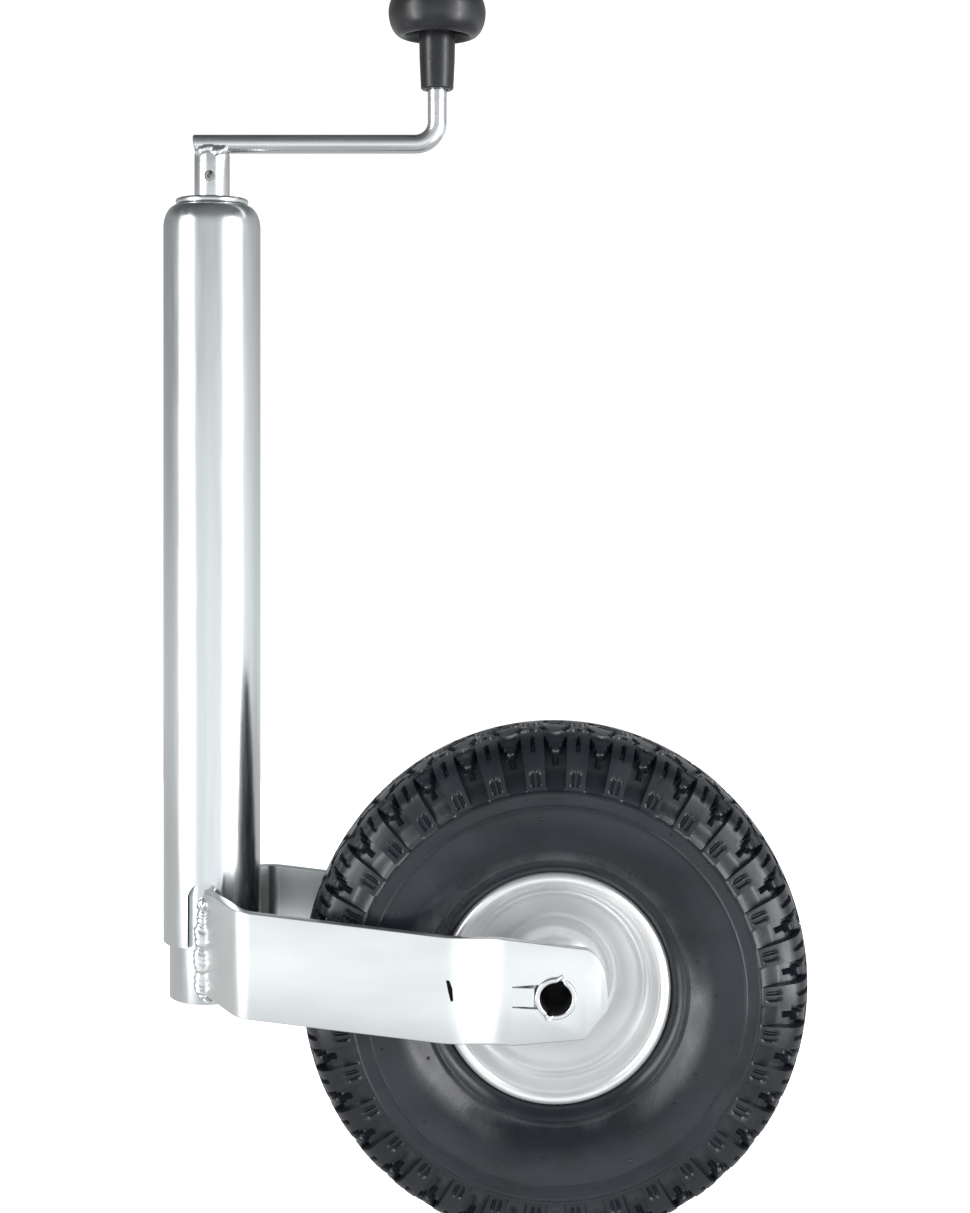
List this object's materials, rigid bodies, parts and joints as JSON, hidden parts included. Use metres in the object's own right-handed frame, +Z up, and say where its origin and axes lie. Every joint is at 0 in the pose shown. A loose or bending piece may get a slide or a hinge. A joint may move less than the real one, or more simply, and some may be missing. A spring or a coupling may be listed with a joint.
{
  "type": "trailer tongue jack",
  "caption": "Trailer tongue jack: a crank screws a forked leg with a pneumatic wheel out of a round steel tube that a drawbar clamp grips.",
  "frame": {"origin": "on the outer tube's axis at the middle of its length, where the drawbar's clamp grips it", "axes": "+Z up along the tube, +X from the tube to the wheel, -Y the near side with the plain rim"},
  "size_m": [0.32, 0.108, 0.6237],
  "materials": {
    "zinc_plated_steel": "bright zinc plate, satin with streaks along the tube",
    "plain_steel": "turned steel, lightly oiled",
    "bronze": "machined bearing bronze",
    "brass": "machined brass",
    "rim_paint": "satin silver",
    "black_plastic": "moulded black plastic, satin",
    "nylon": "moulded nylon",
    "tyre_rubber": "moulded black rubber",
    "tube_rubber": "smooth butyl rubber"
  },
  "bodies": {
    "housing": {"outer_tube": "zinc_plated_steel", "top_cap": "zinc_plated_steel", "thrust_race": "plain_steel"},
    "crank": {"thrust_washer": "bronze", "spindle_collar": "plain_steel", "spindle": "plain_steel", "crank_boss": "zinc_plated_steel", "boss_spring_pin": "plain_steel", "collar_pin": "plain_steel", "crank_rod": "zinc_plated_steel", "knob_clip": "plain_steel"},
    "knob": {"crank_knob": "black_plastic"},
    "leg": {"inner_tube": "zinc_plated_steel", "spindle_nut": "bronze", "nut_pin_left": "plain_steel", "nut_pin_right": "plain_steel", "fork_arm_near": "zinc_plated_steel", "fork_arm_far": "zinc_plated_steel", "axle_tube": "zinc_plated_steel", "axle_spacer_near": "zinc_plated_steel", "axle_spacer_far": "zinc_plated_steel"},
    "wheel": {"hub_tube": "zinc_plated_steel", "hub_bush_near": "nylon", "hub_bush_far": "nylon", "rim_half_near": "rim_paint", "rim_half_far": "rim_paint", "tyre": "tyre_rubber", "air_tube": "tube_rubber", "valve_stem": "brass", "valve_cap": "black_plastic"}
  },
  "joints": [
    {"name": "crank_turn", "type": "hinge", "parent": "housing", "child": "crank", "pos_m": [0, 0, 0.2], "axis": [0, 0, -1], "range_deg": [0, 18000]},
    {"name": "leg_slide", "type": "slide", "parent": "housing", "child": "leg", "axis": [0, 0, -1], "range_m": [0, 0.2]},
    {"name": "knob_spin", "type": "hinge", "parent": "crank", "child": "knob", "pos_m": [0.1125, 0, 0.2409], "axis": [0, 0, 1], "continuous": true},
    {"name": "wheel_spin", "type": "hinge", "parent": "leg", "child": "wheel", "pos_m": [0.171, 0, -0.2005], "axis": [0, 1, 0], "continuous": true}
  ],
  "couplings": [
    {"joint": "leg_slide", "follows": "crank_turn", "m_per_rad": 0.00063662}
  ]
}
